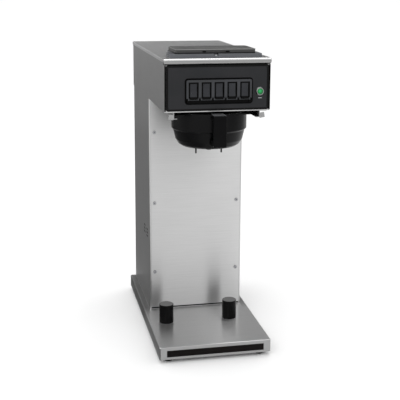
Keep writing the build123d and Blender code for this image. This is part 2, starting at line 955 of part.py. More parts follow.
def bowl_profile(inset, top, floor):
    """The funnel's outline as (radius, height) points, drawn in by a wall's thickness."""
    low_radius = bowl_mid_radius - bowl_edge / 2
    return [
        (0, top),
        (funnel_radius - inset, top),
        (funnel_radius - inset, step_z + step_width / 2),
        (funnel_radius - step_width - inset, step_z - step_width / 2),
        (bowl_mid_radius - inset, step_z - bowl_mid_drop),
        (low_radius - inset, floor + bowl_edge / 3),
        (low_radius - bowl_edge / 2 - inset, floor),
        (0, floor),
    ]


def funnel_bowl():
    """The brew funnel: a ribbed bowl with wings for the rails, a drip nozzle and stub legs."""
    bowl = turned(bowl_profile(0, rim_top, bowl_bottom))
    half_length = wing_length / 2
    wing = rounded_block(
        -wing_half, wing_half, -half_length, half_length, wing_bottom, wing_top, wing_corner,
    )
    bowl += wing
    bowl -= turned(bowl_profile(funnel_wall, rim_top + over, bowl_bottom + funnel_wall))
    floor = bowl_bottom + funnel_wall
    nozzle = post(nozzle_radius, bowl_bottom - nozzle_length, floor)
    nozzle = chamfer(nozzle.faces().sort_by(Axis.Z)[0].edges(), nozzle_edge)
    bowl += nozzle
    for sx in (-1, 1):
        bowl += post(leg_radius, bowl_bottom - leg_length, bowl_bottom + over, sx * leg_offset, 0)
    rib_reach = bowl_mid_radius - bowl_edge - funnel_wall
    rib = block(
        nozzle_radius + rib_start, rib_reach, -rib_width / 2, rib_width / 2,
        floor - over / 2, floor + rib_height,
    )
    for i in range(rib_count):
        bowl += Rot(0, 0, (i + 0.5) * 360 / rib_count) * rib
    bowl -= post(nozzle_bore, bowl_bottom - nozzle_length - over, floor + over)
    bowl = Pos(0, funnel_y, 0) * bowl
    for z in handle_screw_heights():
        seat = handle_screw_seat(z)
        bowl -= rod_y(screw_radius + hole_gap, funnel_y - funnel_radius - over, seat + over, 0, z)
        bowl -= rod_y(screw_head_radius + hole_gap, seat, seat + 3 * screw_head_height, 0, z)
    return bowl


def handle_screw_seat(z):
    """The flat inside the bowl's wall that a handle screw's head bears on."""
    return wall_front_y(z) + funnel_wall - handle_seat_depth


def handle_screw_heights():
    """Heights of the handle's two screws."""
    upper = handle_top - handle_rise - handle_arm / 2 - handle_screw_drop
    return upper, handle_bottom + handle_arm / 2


def wall_front_y(z):
    """How far forward the outside of the bowl stands at a height."""
    points = bowl_profile(0, rim_top, bowl_bottom)[1:-1]
    for (r0, z0), (r1, z1) in zip(points, points[1:]):
        if z1 <= z <= z0:
            return funnel_y - (r0 + (r1 - r0) * (z0 - z) / (z0 - z1))
    return funnel_y - points[-1][0]


def funnel_handle():
    """The upright grip of the funnel: a loop that leaves room for the fingers behind it."""
    grip_back = handle_front + handle_thickness
    near = funnel_y - bowl_mid_radius
    body = block(
        -handle_width / 2, handle_width / 2, handle_front, near, handle_bottom, handle_top,
    )
    body = fillet(body.edges().filter_by(Axis.X).sort_by(Axis.Y)[:2], handle_corner)
    gap_bottom = handle_bottom + handle_arm
    gap_top = handle_top - handle_arm
    gap = block(-handle_width, handle_width, grip_back, near + over, gap_bottom, gap_top)
    gap = fillet(gap.edges().filter_by(Axis.X).sort_by(Axis.Y)[:2], handle_corner)
    body -= gap
    body -= Pos(0, funnel_y, 0) * turned(bowl_profile(0, rim_top, bowl_bottom))
    body -= post(funnel_radius, rim_top - over, handle_top + over, 0, funnel_y)
    body = fillet(body.faces().sort_by(Axis.Y)[0].edges().filter_by(Axis.Z), handle_edge)
    for z in handle_screw_heights():
        body -= rod_y(screw_radius + hole_gap, handle_screw_seat(z) - screw_length - over, funnel_y, 0, z)
    return body


def handle_screws():
    """The screws that hold the handle, from inside the bowl."""
    turned_screw = Rot(0, 0, 180) * screw(screw_length, "y")
    return [Pos(0, handle_screw_seat(z), z) * turned_screw for z in handle_screw_heights()]


def sprayhead():
    """The perforated head that spreads the water over the coffee, with a boss through the floor."""
    disc = post(spray_radius, floor_under - spray_thickness, floor_under)
    disc = chamfer(disc.faces().sort_by(Axis.Z)[0].edges(), spray_edge)
    disc += post(spray_boss_radius, floor_under - over, floor_under + spray_boss_height)
    hollow_top = floor_under - spray_wall
    disc -= post(spray_radius - spray_rim, floor_under - spray_thickness + spray_wall, hollow_top)
    disc -= post(spray_tube_radius + hole_gap, hollow_top - over, floor_under + spray_boss_height + over)
    face = floor_under - spray_thickness
    for x, y in hole_places(spray_ring_pitch):
        disc -= post(spray_hole_radius, face - over, face + spray_wall + over, x, y)
    return Pos(0, funnel_y, 0) * disc


def spray_nut():
    """The nut that holds the sprayhead to the floor of the head."""
    return Pos(0, funnel_y, floor_top) * hex_nut(spray_boss_radius, spray_nut_margin, spray_nut_height)


def spray_tube():
    """The tube that carries hot water from the tank to the sprayhead."""
    high = head_bottom + spray_tube_rise
    path = FilletPolyline(
        (0, outlet_y, tank_lid_under - spray_tube_dip),
        (0, outlet_y, high),
        (0, funnel_y, high),
        (0, funnel_y, floor_under),
        radius=spray_tube_bend,
    )
    return tube(path, spray_tube_radius, spray_tube_wall)


def fill_basin():
    """The tray that cold water is poured into, with a spout at its back."""
    x = well_half + basin_wall
    y0 = well_front - basin_wall
    y1 = well_back + basin_wall
    tray = rounded_block(-x, x, y0, y1, basin_bottom, cover_top, basin_corner + basin_wall)
    tray = fillet(tray.faces().sort_by(Axis.Z)[0].edges(), basin_corner / 2)
    rim = rounded_block(
        -x - basin_rim, x + basin_rim, y0 - basin_rim, y1 + basin_rim,
        cover_top, cover_top + basin_wall, basin_corner + basin_rim,
    )
    tray += rim
    spout_end = basin_bottom - basin_spout_length
    tray += post(basin_spout_radius, spout_end, basin_bottom + over, basin_spout_x, basin_spout_y)
    floor = basin_bottom + basin_wall
    hollow = rounded_block(
        -well_half, well_half, well_front, well_back, floor, cover_top + basin_depth, basin_corner,
    )
    tray -= fillet(hollow.faces().sort_by(Axis.Z)[0].edges(), basin_corner / 3)
    bore = basin_spout_radius - basin_spout_wall
    tray -= post(bore, spout_end - over, floor + over, basin_spout_x, basin_spout_y)
    return tray


def basin_screen():
    """The perforated disc over the basin's spout."""
    floor = basin_bottom + basin_wall
    centre_y = well_back - screen_radius - screen_setback
    disc = post(screen_radius, floor, floor + screen_thickness)
    for x, y in hole_places(screen_ring_pitch):
        disc -= post(screen_hole_radius, floor - over, floor + screen_thickness + over, x, y)
    return Pos(basin_spout_x, centre_y, 0) * disc


def notch_y():
    """Where the surround's front screw stands."""
    return surround_front_y + screw_head_radius


def notch_floor():
    """The height of the seat under the surround's front screw."""
    return cover_top + basin_wall + sheet


def fill_surround():
    """The frame on top of the head: ears in front, a seat for the basin's rim and hinge knuckles behind."""
    frame = rounded_block(
        -surround_half, surround_half, surround_front_y, surround_back_y,
        cover_top, surround_top, surround_corner,
    )
    ear = surround_half + ear_width
    ears = rounded_block(
        -ear, ear, surround_front_y, surround_front_y + ear_length,
        cover_top, surround_top, surround_corner,
    )
    frame = frame + ears
    frame = fillet(frame.faces().sort_by(Axis.Z)[-1].edges(), surround_edge)
    seat = basin_rim + basin_wall + set_gap
    frame -= rounded_block(
        -well_half - seat, well_half + seat, well_front - seat, well_back + seat,
        cover_top - over, cover_top + basin_wall, basin_corner + basin_rim,
    )
    frame -= rounded_block(
        -well_half, well_half, well_front, well_back, cover_top - over, surround_top + over, basin_corner,
    )
    frame -= block(
        -notch_half, notch_half, surround_front_y - over, notch_y() + notch_half,
        notch_floor(), surround_top + over,
    )
    frame -= post(screw_radius + hole_gap, cover_top - over, surround_top, 0, notch_y())
    reach = hinge_barrel_length / 2 + running_gap
    for side in (-1, 1):
        for end in (-1, 1):
            x0 = side * hinge_x + end * reach
            x1 = x0 + end * hinge_knuckle_length
            low, high = min(x0, x1), max(x0, x1)
            frame += rod_x(hinge_barrel_radius, low, high, hinge_y, hinge_z)
            frame += block(
                low, high, hinge_y - hinge_barrel_radius, hinge_y + hinge_barrel_radius,
                surround_top - over, hinge_z,
            )
    return frame - rod_x(hinge_pin_radius + press_gap, -head_half, head_half, hinge_y, hinge_z)


def surround_screw():
    """The screw in the notch at the front of the surround."""
    return Pos(0, notch_y(), notch_floor()) * Rot(180, 0, 0) * screw(screw_length)


def lid():
    """The hinged lid of the fill well: a shallow cap with a finger grip and two hinge arms."""
    cap = rounded_block(-lid_half, lid_half, lid_front_y, lid_back_y, lid_bottom, lid_top, lid_corner)
    cap = chamfer(cap.faces().sort_by(Axis.Z)[-1].edges(), lid_edge)
    inner = lid_half - lid_wall
    cap -= rounded_block(
        -inner, inner, lid_front_y + lid_wall + grip_depth, lid_back_y - lid_wall,
        lid_bottom - over, lid_top - lid_wall, lid_corner - lid_wall / 2,
    )
    grip_top = lid_top - lid_edge - grip_drop
    cap -= block(
        -grip_width / 2, grip_width / 2, lid_front_y - over, lid_front_y + grip_depth,
        grip_top - grip_height, grip_top,
    )
    arm = hinge_barrel_length / 2
    for side in (-1, 1):
        x0 = side * hinge_x - arm
        x1 = side * hinge_x + arm
        cap += rod_x(hinge_barrel_radius, x0, x1, hinge_y, hinge_z)
        cap += block(
            x0, x1, lid_back_y - lid_wall, hinge_y, hinge_z - hinge_barrel_radius,
            hinge_z + hinge_barrel_radius,
        )
    return cap - rod_x(hinge_pin_radius + shaft_gap, -head_half, head_half, hinge_y, hinge_z)


def lid_hinge_pins():
    """The two pins of the lid's hinge."""
    half = hinge_barrel_length / 2 + running_gap + hinge_knuckle_length
    centres = (-hinge_x, hinge_x)
    return [rod_x(hinge_pin_radius, x - half, x + half, hinge_y, hinge_z) for x in centres]


def tank_shelf():
    """The shelf inside the trunk that carries the tank, with flanges down its sides."""
    x = trunk_half - sheet - hole_gap
    y0 = tank_y - tank_radius
    y1 = tank_y + tank_radius
    shelf = block(-x, x, y0, y1, shelf_z - shelf_flange, shelf_z + sheet)
    shelf -= block(-x + sheet, x - sheet, y0 - over, y1 + over, shelf_z - shelf_flange - over, shelf_z)
    notch = 3 * capillary_radius
    shelf -= block(
        -x - over, capillary_x + notch, bulb_y - notch, bulb_y + notch,
        shelf_z - shelf_flange - over, shelf_z + sheet + over,
    )
    return shelf


def tank_bolt_places():
    """Centres of the bolts round the tank's flange."""
    places = []
    for i in range(tank_bolt_count):
        angle = radians(30 + 360 * i / tank_bolt_count)
        places.append((tank_bolt_circle * cos(angle), tank_y + tank_bolt_circle * sin(angle)))
    return places


def tank():
    """The hot water tank: a drawn can with a flat flange round its mouth."""
    flange_bottom = tank_top - tank_flange_thickness
    can = turned([
        (0, tank_bottom),
        (tank_radius - tank_corner, tank_bottom),
        (tank_radius, tank_bottom + tank_corner),
        (tank_radius, flange_bottom),
        (tank_radius + tank_flange, flange_bottom),
        (tank_radius + tank_flange, tank_top),
        (tank_radius - tank_wall, tank_top),
        (tank_radius - tank_wall, tank_bottom + tank_corner + tank_wall / 2),
        (tank_radius - tank_corner - tank_wall / 2, tank_bottom + tank_wall),
        (0, tank_bottom + tank_wall),
    ])
    can = Pos(0, tank_y, 0) * can
    for x, y in tank_bolt_places():
        can -= post(tank_bolt_radius + hole_gap, flange_bottom - over, tank_top + over, x, y)
    return can


def tank_gasket():
    """The seal between the tank and its lid."""
    outer = tank_radius + tank_flange
    ring = post(outer, tank_top, tank_lid_under, 0, tank_y)
    ring -= post(tank_radius - tank_wall, tank_top - over, tank_lid_under + over, 0, tank_y)
    for x, y in tank_bolt_places():
        ring -= post(tank_bolt_radius + hole_gap, tank_top - over, tank_lid_under + over, x, y)
    return ring


def tank_lid():
    """The tank's cover plate with its inlet stub and dip tube."""
    plate = post(tank_radius + tank_flange, tank_lid_under, tank_lid_top, 0, tank_y)
    stub = basin_spout_radius
    plate += post(
        stub, tank_lid_under - dip_tube_length, tank_lid_top + inlet_height, basin_spout_x, inlet_y,
    )
    plate -= post(
        stub - basin_spout_wall, tank_lid_under - dip_tube_length - over,
        tank_lid_top + inlet_height + over,
        basin_spout_x, inlet_y,
    )
    plate -= post(spray_tube_radius + hole_gap, tank_lid_under - over, tank_lid_top + over, 0, outlet_y)
    for sx in (-1, 1):
        plate -= post(
            element_radius + hole_gap, tank_lid_under - over,
            tank_lid_top + over, sx * element_half, element_y,
        )
    plate -= post(bulb_radius + hole_gap, tank_lid_under - over, tank_lid_top + over, bulb_x, bulb_y)
    for x, y in tank_bolt_places():
        plate -= post(tank_bolt_radius + hole_gap, tank_lid_under - over, tank_lid_top + over, x, y)
    return plate


def tank_bolts():
    """The bolts that draw the tank's lid down, with their nuts."""
    bolts = []
    for x, y in tank_bolt_places():
        bolt = post(tank_bolt_radius, tank_top - tank_bolt_end, tank_lid_top + over, x, y)
        hexagon = RegularPolygon(2 * tank_bolt_radius, 6)
        head = Pos(x, y, tank_lid_top) * extrude(hexagon, tank_bolt_head)
        nut = Pos(x, y, tank_top - tank_flange_thickness) * extrude(hexagon, -tank_nut_height)
        bolts.append(bolt + head + nut)
    return bolts


def fill_hose():
    """The soft hose from the basin's spout to the tank's inlet."""
    top = basin_bottom - over
    high = basin_bottom - basin_spout_length - fill_hose_drop
    path = FilletPolyline(
        (basin_spout_x, basin_spout_y, top),
        (basin_spout_x, basin_spout_y, high),
        (basin_spout_x, inlet_y, high - fill_hose_fall),
        (basin_spout_x, inlet_y, tank_lid_top + over),
        radius=fill_hose_bend,
    )
    return tube(path, basin_spout_radius + hole_gap + fill_hose_wall, fill_hose_wall)


def heating_element():
    """The sheathed heater: two legs and a bend, hung from the tank's lid with its nuts."""
    top = tank_lid_top + element_stub
    low = tank_lid_under - element_length
    path = Polyline((element_half, element_y, top), (element_half, element_y, low))
    path += ThreePointArc(
        (element_half, element_y, low), (0, element_y, low - element_half), (-element_half, element_y, low),
    )
    path += Line((-element_half, element_y, low), (-element_half, element_y, top))
    rod = wire_rod(path, element_radius)
    for sx in (-1, 1):
        rod += Pos(sx * element_half, element_y, tank_lid_top) * extrude(
            RegularPolygon(2 * element_radius, 6), element_nut_height,
        )
    return rod


def thermostat():
    """The thermostat body that stands on the base inside the trunk."""
    x0 = capillary_x - capillary_radius - thermostat_margin
    body = block(
        x0, x0 + thermostat_size, bulb_y - thermostat_size / 2, bulb_y + thermostat_size / 2,
        base_top + sheet, base_top + sheet + thermostat_height,
    )
    body = fillet(body.edges().filter_by(Axis.Z), thermostat_corner)
    stem_y = bulb_y + thermostat_size / 2
    stem_z = base_top + thermostat_height / 2
    return body + rod_y(stem_radius, stem_y - over, stem_y + stem_length, x0 + thermostat_size / 2, stem_z)


def thermostat_bulb():
    """The sensing bulb in the tank and the fine tube that joins it to the thermostat."""
    start_z = base_top + sheet + thermostat_height
    high = tank_lid_top + capillary_rise
    path = FilletPolyline(
        (capillary_x, bulb_y, start_z),
        (capillary_x, bulb_y, high),
        (bulb_x, bulb_y, high),
        (bulb_x, bulb_y, tank_lid_top),
        radius=capillary_bend,
    )
    line = wire_rod(path, capillary_radius)
    return line + post(bulb_radius, tank_lid_under - bulb_length, tank_lid_top + bulb_stub, bulb_x, bulb_y)


def limit_thermostat():
    """The safety cut-out clamped on the tank's lid."""
    y = tank_y + limit_y_offset
    disc = post(limit_radius, tank_lid_top, tank_lid_top + limit_flange_height, limit_x, y)
    disc += post(limit_cap_radius, tank_lid_top, tank_lid_top + limit_height, limit_x, y)
    for sx in (-1, 1):
        x = limit_x + sx * limit_blade_x
        disc += block(
            x - blade_thickness / 2, x + blade_thickness / 2, y - blade_width / 2, y + blade_width / 2,
            tank_lid_top + limit_height - over, tank_lid_top + limit_height + blade_length,
        )
    return disc


def terminal_block():
    """The block where the supply wires end, with a well for each screw."""
    y1 = trunk_back - sheet - trunk_lip - terminal_gap
    y0 = y1 - terminal_width
    x0 = gland_x - terminal_length / 2
    x1 = gland_x + terminal_length / 2
    body = block(x0, x1, y0, y1, base_top, base_top + terminal_height)
    pitch = terminal_length / terminal_ways
    for i in range(terminal_ways):
        x = x0 + (i + 0.5) * pitch
        top = base_top + terminal_height
        body -= post(terminal_well_radius, top - terminal_well_depth, top + over, x, (y0 + y1) / 2)
        body -= rod_y(terminal_bore_radius, y0 - over, y1 + over, x, base_top + terminal_bore_rise)
    return body


def cord_gland():
    """The strain relief bushing in the back of the trunk where a supply cord would enter."""
    solid = turned([
        (gland_bore, -gland_neck_length),
        (gland_neck, -gland_neck_length),
        (gland_neck, 0),
        (gland_radius, 0),
        (gland_radius, gland_reach / 2),
        (gland_radius - gland_slope, gland_reach),
        (gland_bore, gland_reach),
    ])
    return Pos(gland_x, trunk_back, gland_z) * Rot(-90, 0, 0) * solid


def gland_nut():
    """The nut that holds the bushing inside the back of the trunk."""
    nut = hex_nut(gland_neck, gland_nut_margin + gland_flange, gland_nut_height)
    return Pos(gland_x, trunk_back - sheet, gland_z) * Rot(90, 0, 0) * nut


def pieces():
    """Every node by name, with its solid or its list of solids."""
    nodes = {
        "base_pan": base_pan(),
        "base_bottom_plate": base_bottom_plate(),
        "base_front_insert": base_front_insert(),
        "rubber_feet": rubber_feet(),
        "foot_screws": foot_screws(),
        "airpot_post_left": airpot_post(post_left_x),
        "airpot_post_right": airpot_post(post_right_x),
        "post_bolts": post_bolts(),
        "trunk_shell": trunk_shell(),
        "trunk_front_panel": trunk_front_panel(),
        "front_panel_screws": front_panel_screws(),
        "trunk_base_screws": trunk_base_screws(),
        "head_screws": head_screws(),
        "hood_shell": hood_shell(),
        "head_floor": head_floor(),
        "top_cover": top_cover(),
        "top_cover_screws": top_cover_screws(),
        "control_panel": control_panel(),
        "switch_bezel": switch_bezel(),
        "switch_bodies": switch_bodies(),
        "ready_light_ring": ready_light_ring(),
        "ready_light_lens": ready_light_lens(),
        "ready_light_nut": ready_light_nut(),
        "funnel_rail_left": funnel_rail(-1),
        "funnel_rail_right": funnel_rail(1),
        "rail_screws": rail_screws(),
        "funnel_bowl": funnel_bowl(),
        "funnel_handle": funnel_handle(),
        "handle_screws": handle_screws(),
        "sprayhead": sprayhead(),
        "spray_nut": spray_nut(),
        "spray_tube": spray_tube(),
        "fill_basin": fill_basin(),
        "basin_screen": basin_screen(),
        "fill_surround": fill_surround(),
        "surround_screw": surround_screw(),
        "lid": lid(),
        "lid_hinge_pins": lid_hinge_pins(),
        "tank_shelf": tank_shelf(),
        "tank": tank(),
        "tank_gasket": tank_gasket(),
        "tank_lid": tank_lid(),
        "tank_bolts": tank_bolts(),
        "fill_hose": fill_hose(),
        "heating_element": heating_element(),
        "thermostat": thermostat(),
        "thermostat_bulb": thermostat_bulb(),
        "limit_thermostat": limit_thermostat(),
        "terminal_block": terminal_block(),
        "cord_gland": cord_gland(),
        "gland_nut": gland_nut(),
    }
    for i, x in enumerate(rocker_xs):
        nodes[f"rocker_{i + 1}"] = rocker(x)
    return nodes


os.makedirs("parts", exist_ok=True)
for name, shape in pieces().items():
    if isinstance(shape, list):
        shape = Compound(children=[s for item in shape for s in item.solids()])
    export_step(shape, f"parts/{name}.step")
    print(name)
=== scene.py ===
import math
import bmesh
import bpy
from mathutils import Matrix, Vector


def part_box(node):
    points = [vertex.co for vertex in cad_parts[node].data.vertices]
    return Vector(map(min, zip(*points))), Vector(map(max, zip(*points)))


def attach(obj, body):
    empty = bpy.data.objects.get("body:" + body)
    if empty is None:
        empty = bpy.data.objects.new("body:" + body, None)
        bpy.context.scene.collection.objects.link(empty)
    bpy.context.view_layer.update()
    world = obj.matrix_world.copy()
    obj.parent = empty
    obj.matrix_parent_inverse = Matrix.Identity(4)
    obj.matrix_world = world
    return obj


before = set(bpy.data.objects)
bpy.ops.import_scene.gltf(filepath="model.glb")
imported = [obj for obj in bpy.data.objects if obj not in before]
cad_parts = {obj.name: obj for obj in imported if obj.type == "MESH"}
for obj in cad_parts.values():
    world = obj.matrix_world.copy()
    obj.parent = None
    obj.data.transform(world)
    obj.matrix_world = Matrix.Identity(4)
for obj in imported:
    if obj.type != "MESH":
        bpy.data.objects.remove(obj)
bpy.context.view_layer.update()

mm = 0.001
scene = bpy.context.scene
scene.view_settings.view_transform = "Standard"  # white paper stays white, as in a catalogue


def linear(hexColour):  # sRGB hex to the linear values that Blender wants
    values = []
    for i in (0, 2, 4):
        c = int(hexColour[i:i + 2], 16) / 255
        values.append(c / 12.92 if c <= 0.04045 else ((c + 0.055) / 1.055) ** 2.4)
    return (*values, 1.0)


def addNode(tree, kind, settings=None, values=None, links=None, stops=None):
    made = tree.nodes.new(kind)
    for key, value in (settings or {}).items():
        setattr(made, key, value)
    for key, value in (values or {}).items():
        made.inputs[key].default_value = value
    for key, socket in (links or {}).items():
        tree.links.new(socket, made.inputs[key])
    for i, (position, colour) in enumerate(stops or []):
        if i > 1:
            made.color_ramp.elements.new(position)
        made.color_ramp.elements[i].position = position
        made.color_ramp.elements[i].color = linear(colour)
    return made


def startMaterial(name, finish):  # constants go straight on the shader's own sockets
    material = bpy.data.materials.new(name)
    material.use_nodes = True
    tree = material.node_tree
    shader = tree.nodes["Principled BSDF"]
    for key, value in finish.items():
        shader.inputs[key].default_value = value
    coords = addNode(tree, "ShaderNodeTexCoord")
    return material, tree, shader, coords.outputs["Object"]


def reopen(material):  # what startMaterial gave, to add to a material that is already made
    tree = material.node_tree
    coords = [n for n in tree.nodes if n.type == "TEX_COORD"][0]
    return tree, tree.nodes["Principled BSDF"], coords.outputs["Object"]


def fade(tree, coords, axis, start, end):  # 0 before start and 1 past end, along one axis
    split = addNode(tree, "ShaderNodeSeparateXYZ", links={"Vector": coords})
    ranged = addNode(
        tree, "ShaderNodeMapRange", values={"From Min": start, "From Max": end},
        links={"Value": split.outputs[axis]},
    )
    return ranged.outputs["Result"]


def joined(tree, operation, *masks):  # MAXIMUM is 1 where any mask is, MINIMUM where all are
    result = masks[0]
    for mask in masks[1:]:
        step = addNode(
            tree, "ShaderNodeMath", {"operation": operation}, links={0: result, 1: mask},
        )
        result = step.outputs[0]
    return result


def tint(tree, shader, mask, colour):  # lays a colour over what the shader has, where mask is 1
    under = shader.inputs["Base Color"].links[0].from_socket
    over = addNode(
        tree, "ShaderNodeMix", {"data_type": "RGBA"}, {7: linear(colour)}, {0: mask, 6: under},
    )
    tree.links.new(over.outputs[2], shader.inputs["Base Color"])


def meshFrom(bm, name):
    bmesh.ops.recalc_face_normals(bm, faces=bm.faces)
    mesh = bpy.data.meshes.new(name)
    bm.to_mesh(mesh)
    bm.free()
    return mesh


def skin(name, rings, closed=False):  # faces between rings of points, capped unless closed
    bm = bmesh.new()
    rows = [[bm.verts.new(p) for p in ring] for ring in rings]
    pairs = zip(rows, rows[1:] + rows[:1]) if closed else zip(rows, rows[1:])
    for low, high in pairs:
        for i in range(len(low)):
            j = (i + 1) % len(low)
            bm.faces.new((low[i], low[j], high[j], high[i]))
    if not closed:
        bm.faces.new(rows[0])
        bm.faces.new(rows[-1])
    return meshFrom(bm, name)


def roundedLoop(width, height, radius, steps=5):  # a rounded rectangle about the origin
    points = []
    for corner, (sx, sy) in enumerate(((1, 1), (-1, 1), (-1, -1), (1, -1))):
        for i in range(steps + 1):
            angle = (corner + i / steps) * math.pi / 2
            points.append((
                sx * (width / 2 - radius) + radius * math.cos(angle),
                sy * (height / 2 - radius) + radius * math.sin(angle),
            ))
    return points


def onFront(loop, x, y, z):  # a loop laid on a face that looks forward
    return [(x + u, y, z + v) for u, v in loop]


def onSide(loop, x, y, z):  # a loop laid on a face that looks left
    return [(x, y + u, z + v) for u, v in loop]


def newPiece(mesh, body, material):
    piece = bpy.data.objects.new(mesh.name, mesh)
    scene.collection.objects.link(piece)
    piece.data.materials.append(material)
    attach(piece, body)


def sizeOf(node):  # lowest corner, highest corner and middle of a node from CAD
    low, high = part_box(node)
    return Vector(low), Vector(high), (Vector(low) + Vector(high)) / 2


print("camera")

photoCamera = {  # fitted to the corners of the base, trunk and head, in metres and radians
    "place": (-0.3739, -1.8461, 0.7621),
    "yaw": 0.2048,
    "pitch": 0.1981,
    "roll": -0.0049,
    "focalPixels": 890.6,
    "framePixels": 400,
    "shift": (0.0, -0.12),
    "sensorMm": 36,
    "farEnd": 200,
}


def makeCamera(view):
    yaw, pitch, roll = view["yaw"], view["pitch"], view["roll"]
    level = math.cos(pitch)
    ahead = Vector((math.sin(yaw) * level, math.cos(yaw) * level, -math.sin(pitch)))
    right = Vector((math.cos(yaw), -math.sin(yaw), 0))
    down = ahead.cross(right)
    across = right * math.cos(roll) + down * math.sin(roll)
    below = down * math.cos(roll) - right * math.sin(roll)
    data = bpy.data.cameras.new("camera")
    data.sensor_width = view["sensorMm"]
    data.sensor_fit = "HORIZONTAL"
    data.lens = view["focalPixels"] / view["framePixels"] * data.sensor_width
    data.shift_x, data.shift_y = view["shift"]
    data.clip_end = view["farEnd"]
    camera = bpy.data.objects.new("camera", data)
    scene.collection.objects.link(camera)
    turn = Matrix((across, -below, -ahead)).transposed().to_4x4()
    camera.matrix_world = Matrix.Translation(view["place"]) @ turn
    scene.camera = camera


makeCamera(photoCamera)

print("studio")

studio = {
    "floorSide": 80.0,
    "floorColour": ("fbfbfb", "fdfdfd"),
    "mottleScale": 6.0,
    "worldColour": "ffffff",
    "worldStrength": 1.04,
    "lamps": [  # name, place, point aimed at, width, height, watts
        ("keyLamp", (-1.7, -2.4, 2.5), (0, 0, 0.3), 1.4, 1.4, 16),
        ("topLamp", (0.1, 0.5, 2.8), (0, 0, 0.5), 1.6, 1.0, 12),
    ],
    # Grey cards that only reflections see: name, place, turns about X and Z in degrees,
    # width, height, greys from low to high
    "cards": [
        (
            "floorCard", (-1.3, 1.0, 0.0006), (0, 0), 2.36, 3.2,
            [(0.0, "707070"), (1.0, "707070")],
        ),
        (
            "backCard", (0, 2.6, 3.0), (90, 0), 7.0, 6.0,
            [(0.074, "7c7c7c"), (0.119, "dcdcdc"), (0.1445, "dcdcdc"), (0.159, "646464")],
        ),
        (
            "rightCard", (2.6, -0.4, 1.2), (90, 90), 4.0, 2.4,
            [(0.1, "9a9a9a"), (0.9, "c4c4c4")],
        ),
    ],
}


def flatSheet(name, width, height):  # one face about the origin
    bm = bmesh.new()
    corners = ((-1, -1), (1, -1), (1, 1), (-1, 1))
    bm.faces.new([bm.verts.new((x * width / 2, y * height / 2, 0)) for x, y in corners])
    sheet = bpy.data.objects.new(name, meshFrom(bm, name))
    scene.collection.objects.link(sheet)
    return sheet


def makeFloor(setup):
    floor = flatSheet("floor", setup["floorSide"], setup["floorSide"])
    # Matt paper: no sheen, barely mottled
    paper, tree, shader, coords = startMaterial("mattPaper", {"Roughness": 0.9})
    mottle = addNode(
        tree, "ShaderNodeTexNoise", values={"Scale": setup["mottleScale"]},
        links={"Vector": coords},
    )
    dark, light = setup["floorColour"]
    ramp = addNode(
        tree, "ShaderNodeValToRGB", links={"Fac": mottle.outputs["Fac"]},
        stops=[(0.0, dark), (1.0, light)],
    )
    tree.links.new(ramp.outputs["Color"], shader.inputs["Base Color"])
    floor.data.materials.append(paper)


def makeCard(name, place, turns, width, height, greys):
    card = flatSheet(name, width, height)
    tilt, turn = (math.radians(angle) for angle in turns)
    turned = Matrix.Rotation(turn, 4, "Z") @ Matrix.Rotation(tilt, 4, "X")
    card.matrix_world = Matrix.Translation(place) @ turned
    # Felt: dead matt, so its own surface adds nothing to what the steel mirrors
    felt, tree, shader, coords = startMaterial(
        name + "Felt", {"Roughness": 1.0, "Specular IOR Level": 0.0},
    )
    upwards = fade(tree, coords, "Y", -height / 2, height / 2)
    ramp = addNode(tree, "ShaderNodeValToRGB", links={"Fac": upwards}, stops=greys)
    tree.links.new(ramp.outputs["Color"], shader.inputs["Base Color"])
    card.data.materials.append(felt)
    card.visible_camera = False
    card.visible_diffuse = False
    card.visible_shadow = False


def makeLamp(name, place, target, width, height, watts):
    light = bpy.data.lights.new(name, "AREA")
    light.shape = "RECTANGLE"
    light.size = width
    light.size_y = height
    light.energy = watts
    lamp = bpy.data.objects.new(name, light)
    scene.collection.objects.link(lamp)
    aim = (Vector(target) - Vector(place)).to_track_quat("-Z", "Y").to_matrix().to_4x4()
    lamp.matrix_world = Matrix.Translation(place) @ aim


def makeWorld(setup):
    world = bpy.data.worlds.new("softBox")
    world.use_nodes = True
    scene.world = world
    background = world.node_tree.nodes["Background"]
    background.inputs["Color"].default_value = linear(setup["worldColour"])
    background.inputs["Strength"].default_value = setup["worldStrength"]


makeFloor(studio)
for card in studio["cards"]:
    makeCard(*card)
for lamp in studio["lamps"]:
    makeLamp(*lamp)
makeWorld(studio)

print("metals")

# Stainless sheet with a number 4 finish: a straight fine grain that softens what it mirrors
stainless = {
    "light": "cbcbcb",
    "dark": "bfbfbf",
    "contrast": (0.30, 0.70),
    "roughness": (0.33, 0.37),
    "stretch": 0.85,  # reflections smear across the grain and stay crisp along it
    "grainMm": 1.0,  # real grit lines are about 0.1 mm apart, drawn coarser so that they show
    "grainLengthMm": 80,
    "grainDetail": 3.0,
    "grainSoft": 0.6,
    "handledMm": 110,  # size of the slightly duller clouds left by wiping
    "handledDetail": 2.0,
    "smear": {  # tangent that goes with each direction of the grain
        "X": (0.02, 1.0, 0.2), "Y": (0.2, 0.02, 1.0), "Z": (0.2, 1.0, 0.02),
    },
}


